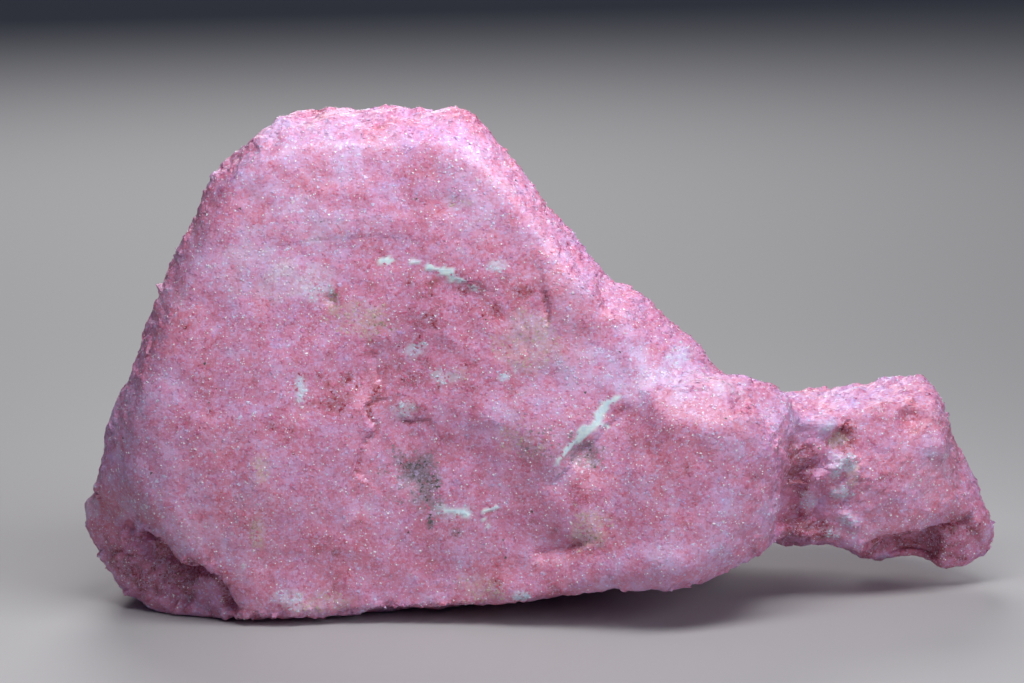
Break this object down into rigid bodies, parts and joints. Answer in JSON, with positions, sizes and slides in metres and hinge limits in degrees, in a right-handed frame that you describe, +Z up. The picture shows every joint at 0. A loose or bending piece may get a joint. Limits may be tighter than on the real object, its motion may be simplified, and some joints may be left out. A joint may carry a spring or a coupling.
{
  "type": "thulite specimen",
  "caption": "Broken hand specimen of massive pink thulite: a leaning wedge of granular rock with a low buttress and a narrow tail, resting on its underside.",
  "frame": {"origin": "centre of the bounding box in X and Y, on the surface that the rock rests on", "axes": "+X to the right of the main face, towards the narrow tail; +Y away from the main face, to the back; +Z up"},
  "size_m": [0.1, 0.0398, 0.0542],
  "materials": {
    "thulite": "rough, sugary broken surface with small glinting cleavage faces"
  },
  "bodies": {
    "root": {"thulite_rock": "thulite"}
  },
  "joints": []
}
